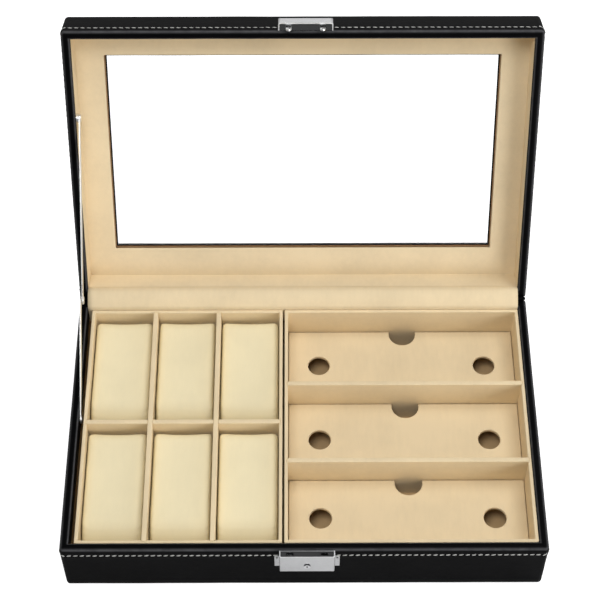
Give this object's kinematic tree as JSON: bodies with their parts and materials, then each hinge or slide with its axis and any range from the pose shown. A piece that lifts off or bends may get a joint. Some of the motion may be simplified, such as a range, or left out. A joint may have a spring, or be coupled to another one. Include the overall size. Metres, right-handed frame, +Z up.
{
  "type": "watch and glasses box",
  "caption": "Leather-covered hinged case with a glazed lid on a folding stay, watch cells with lift-out pillows, glasses compartments with drop-in boards, and a keyed hook lock.",
  "frame": {"origin": "middle of the base's underside, on the surface it stands on", "axes": "+Z up, +X to the right as seen from the lock, +Y to the hinges; the lid is stored open on its stay"},
  "size_m": [0.335, 0.3341, 0.2492],
  "materials": {
    "leather": "black grained artificial leather",
    "fibreboard": "bare fibreboard, hidden",
    "velvet": "short beige velvet",
    "pillow_velvet": "short cream velvet over a soft core",
    "bottom_cloth": "thin dark cloth",
    "glass": "clear flat glass",
    "chrome": "bright plated pressed steel",
    "steel": "plain plated steel"
  },
  "bodies": {
    "base": {"bottom_cover": "bottom_cloth", "base_board": "fibreboard", "base_leather": "leather", "base_lining": "velvet", "watch_tray": "velvet", "watch_divider_cross": "velvet", "watch_divider_left": "velvet", "watch_divider_right": "velvet", "glasses_tray": "velvet", "glasses_divider_rear": "velvet", "glasses_divider_front": "velvet", "glasses_ledges": "velvet", "lock_cover": "chrome", "lock_top_plate": "steel", "lock_back_plate": "steel", "lock_nails": "steel", "base_hinge_leaves": "steel", "base_hinge_screws": "steel", "hinge_pins": "chrome", "cloth_base_flap": "velvet", "hinge_cloth_fold": "velvet", "stay_wall_rivet": "chrome"},
    "lid": {"lid_board": "fibreboard", "lid_leather": "leather", "lid_lining": "velvet", "lid_card": "velvet", "lid_glass": "glass", "lid_hinge_leaves": "steel", "lid_hinge_screws": "steel", "hasp_cover": "chrome", "hasp_plate": "steel", "hasp_nails": "steel", "cloth_lid_flap": "velvet", "stay_lid_rivet": "chrome"},
    "stay_lower": {"stay_lower_link": "chrome"},
    "stay_upper": {"stay_upper_link": "chrome", "stay_middle_rivet": "chrome"},
    "lock_plug": {"lock_plug": "chrome"},
    "lock_bolt": {"lock_bolt": "steel"},
    "pillow_1": {"pillow_1": "pillow_velvet"},
    "pillow_2": {"pillow_2": "pillow_velvet"},
    "pillow_3": {"pillow_3": "pillow_velvet"},
    "pillow_4": {"pillow_4": "pillow_velvet"},
    "pillow_5": {"pillow_5": "pillow_velvet"},
    "pillow_6": {"pillow_6": "pillow_velvet"},
    "board_rear": {"glasses_board_rear": "velvet"},
    "board_middle": {"glasses_board_middle": "velvet"},
    "board_front": {"glasses_board_front": "velvet"}
  },
  "joints": [
    {"name": "lid_hinge", "type": "hinge", "parent": "base", "child": "lid", "pos_m": [0, 0.1063, 0.0522], "axis": [-1, 0, 0], "range_deg": [-115, 0], "deforming": ["hinge_cloth_fold"]},
    {"name": "stay_lower_pivot", "type": "hinge", "parent": "base", "child": "stay_lower", "pos_m": [-0.1607, 0.0048, 0.045], "axis": [1, 0, 0], "range_deg": [-43.53, 0]},
    {"name": "stay_upper_pivot", "type": "hinge", "parent": "lid", "child": "stay_upper", "pos_m": [-0.1607, 0.17314, 0.17992], "axis": [1, 0, 0], "range_deg": [0, 12.07]},
    {"name": "lock_turn", "type": "hinge", "parent": "base", "child": "lock_plug", "pos_m": [0.002, -0.1105, 0.0395], "axis": [0, -1, 0], "range_deg": [0, 90]},
    {"name": "bolt_slide", "type": "slide", "parent": "base", "child": "lock_bolt", "axis": [-1, 0, 0], "range_m": [0, 0.0022]},
    {"name": "pillow_1_lift", "type": "slide", "parent": "base", "child": "pillow_1", "axis": [0, 0, 1], "range_m": [0, 0.06]},
    {"name": "pillow_2_lift", "type": "slide", "parent": "base", "child": "pillow_2", "axis": [0, 0, 1], "range_m": [0, 0.06]},
    {"name": "pillow_3_lift", "type": "slide", "parent": "base", "child": "pillow_3", "axis": [0, 0, 1], "range_m": [0, 0.06]},
    {"name": "pillow_4_lift", "type": "slide", "parent": "base", "child": "pillow_4", "axis": [0, 0, 1], "range_m": [0, 0.06]},
    {"name": "pillow_5_lift", "type": "slide", "parent": "base", "child": "pillow_5", "axis": [0, 0, 1], "range_m": [0, 0.06]},
    {"name": "pillow_6_lift", "type": "slide", "parent": "base", "child": "pillow_6", "axis": [0, 0, 1], "range_m": [0, 0.06]},
    {"name": "board_rear_lift", "type": "slide", "parent": "base", "child": "board_rear", "axis": [0, 0, 1], "range_m": [0, 0.06]},
    {"name": "board_middle_lift", "type": "slide", "parent": "base", "child": "board_middle", "axis": [0, 0, 1], "range_m": [0, 0.06]},
    {"name": "board_front_lift", "type": "slide", "parent": "base", "child": "board_front", "axis": [0, 0, 1], "range_m": [0, 0.06]}
  ],
  "couplings": [
    {"joint": "stay_lower_pivot", "follows": "lid_hinge", "ratio": 0.37848},
    {"joint": "stay_upper_pivot", "follows": "lid_hinge", "ratio": -0.10496},
    {"joint": "lock_turn", "follows": "bolt_slide", "rad_per_m": 714}
  ]
}
